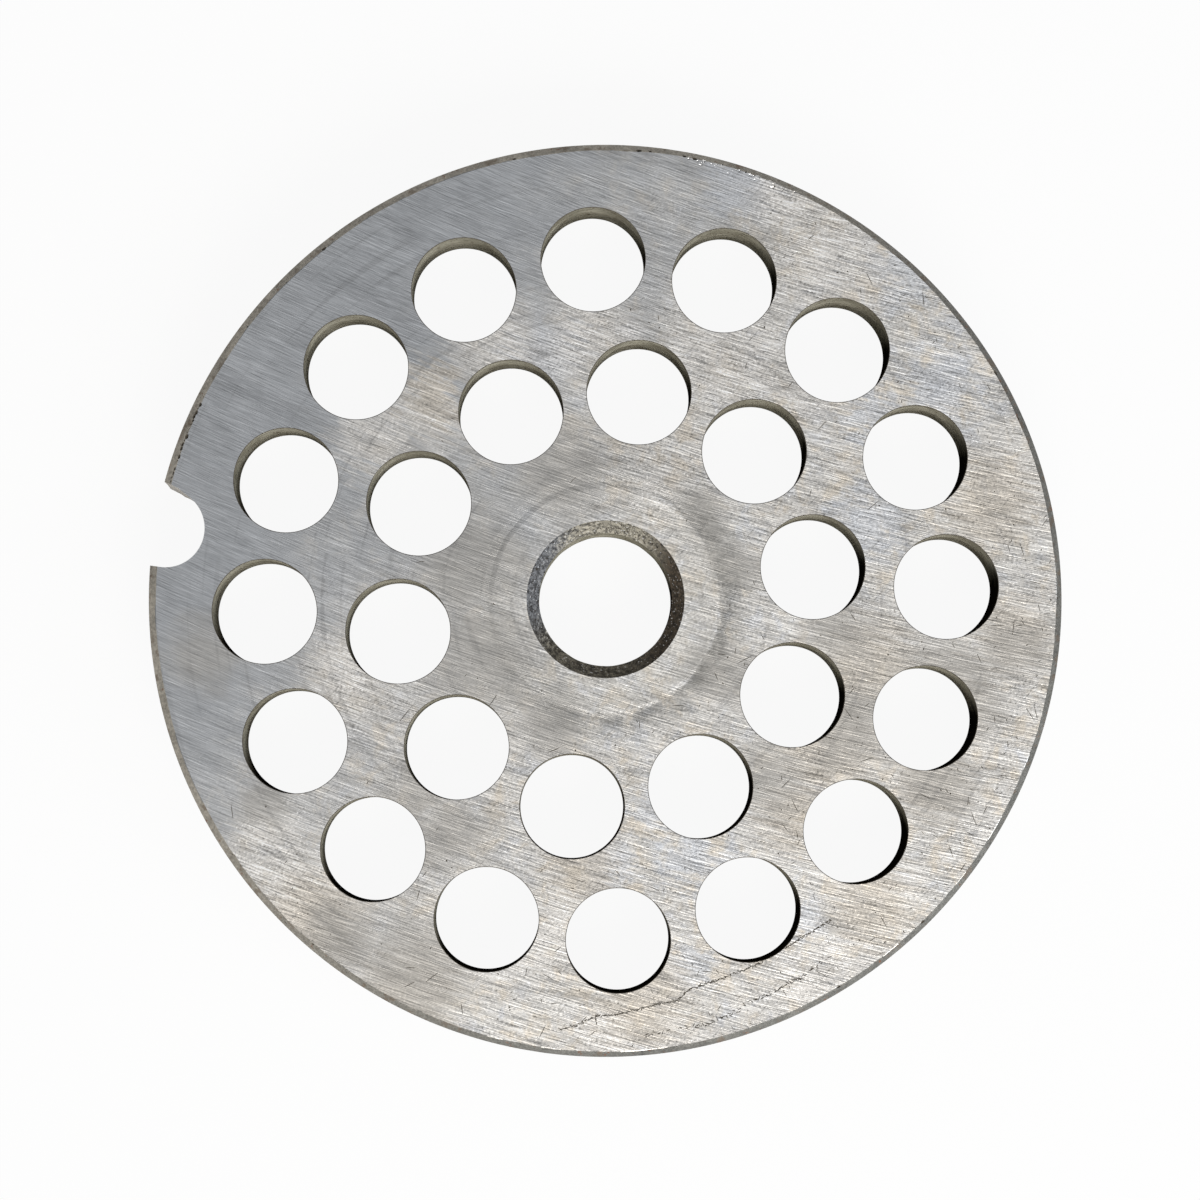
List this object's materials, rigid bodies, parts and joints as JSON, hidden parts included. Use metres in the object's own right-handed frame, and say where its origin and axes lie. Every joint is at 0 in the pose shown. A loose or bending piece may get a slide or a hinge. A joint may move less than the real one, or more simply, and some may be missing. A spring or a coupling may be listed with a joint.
{
  "type": "meat grinder plate",
  "caption": "Flat round steel plate of a meat grinder, with rings of round holes for the meat, a countersunk bore at its centre and a locating notch in its rim.",
  "frame": {"origin": "on the bore's axis in the back face, the face that the plate lies on", "axes": "+Z along the bore, out of the cutting face; the locating notch is at -X"},
  "size_m": [0.0699, 0.07, 0.008],
  "materials": {
    "ground_steel": "surface ground, worn and stained"
  },
  "bodies": {
    "root": {"grinder_plate": "ground_steel"}
  },
  "joints": []
}
